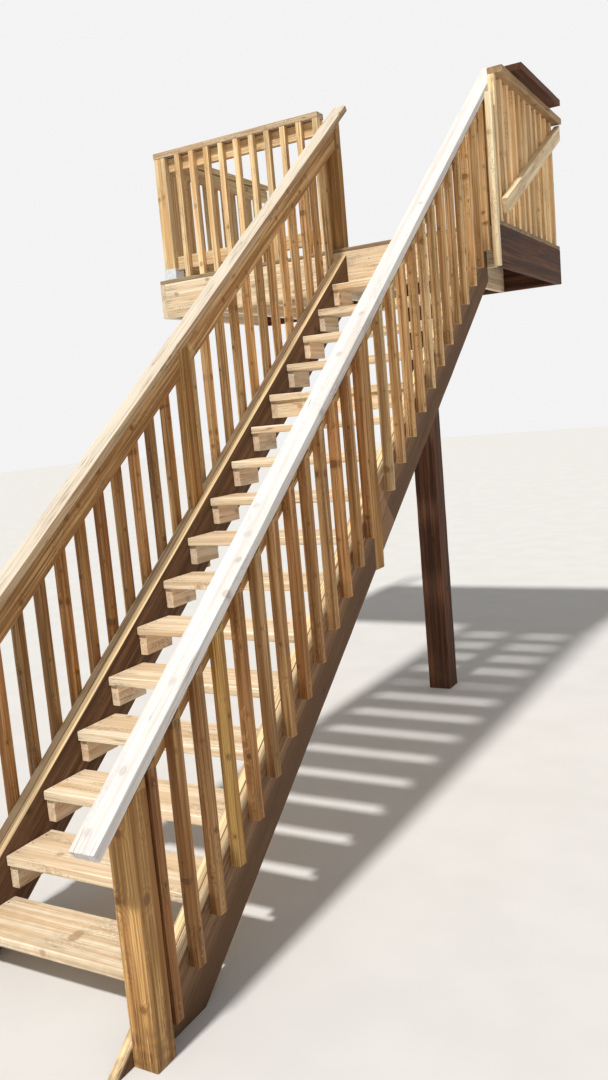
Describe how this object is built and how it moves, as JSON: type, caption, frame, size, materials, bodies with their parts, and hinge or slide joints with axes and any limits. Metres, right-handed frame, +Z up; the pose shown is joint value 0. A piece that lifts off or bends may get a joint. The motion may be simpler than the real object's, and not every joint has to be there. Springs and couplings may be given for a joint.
{
  "type": "wooden deck stairs",
  "caption": "Straight open-riser timber stair with plank treads on cleats between doubled stringers, raked baluster rails on both sides and a railed landing fixed to a wall.",
  "frame": {"origin": "on the ledger's back face, on the flight's centre line, at half the ledger's height", "axes": "+X right when facing the wall, +Y into the wall and up the flight, +Z up"},
  "size_m": [2.579, 5.196, 3.756],
  "materials": {
    "tread_wood": "worn, honey brown",
    "stringer_wood": "weathered, tan",
    "shaded_stringer_wood": "weathered, grey brown",
    "cleat_wood": "weathered, brown",
    "framing_wood": "newer, orange tan",
    "post_wood": "treated, golden brown",
    "cap_wood": "weathered, cream",
    "bleached_wood": "sun bleached, near white",
    "baluster_wood": "treated, orange brown",
    "guard_wood": "treated, golden tan",
    "stained_wood": "stained dark red brown",
    "deck_wood": "weathered, tan",
    "zinc_steel": "zinc coated, dull"
  },
  "bodies": {
    "root": {"tread_01": "tread_wood", "tread_02": "tread_wood", "tread_03": "tread_wood", "tread_04": "tread_wood", "tread_05": "tread_wood", "tread_06": "tread_wood", "tread_07": "tread_wood", "tread_08": "tread_wood", "tread_09": "tread_wood", "tread_10": "tread_wood", "tread_11": "tread_wood", "tread_12": "tread_wood", "tread_13": "tread_wood", "tread_14": "tread_wood", "tread_15": "tread_wood", "tread_16": "tread_wood", "left_stringer": "stringer_wood", "left_outer_boards": "stringer_wood", "right_stringer": "stringer_wood", "right_outer_boards": "shaded_stringer_wood", "left_cleats": "cleat_wood", "right_cleats": "cleat_wood", "cross_board": "framing_wood", "newel_posts": "post_wood", "middle_posts": "post_wood", "top_posts": "post_wood", "left_cap_rail": "cap_wood", "right_cap_rail": "bleached_wood", "left_balustrade": "baluster_wood", "right_balustrade": "baluster_wood", "front_rim": "framing_wood", "left_rim": "framing_wood", "right_rim": "stained_wood", "ledger": "stained_wood", "landing_joists": "framing_wood", "deck_boards": "deck_wood", "corner_baluster": "guard_wood", "corner_post": "post_wood", "post_shoe": "zinc_steel", "front_guard_cap": "cap_wood", "front_guard": "guard_wood", "left_guard": "guard_wood", "right_guard": "guard_wood", "right_guard_plank": "stained_wood", "diagonal_brace": "post_wood", "support_post": "stained_wood"}
  },
  "joints": []
}
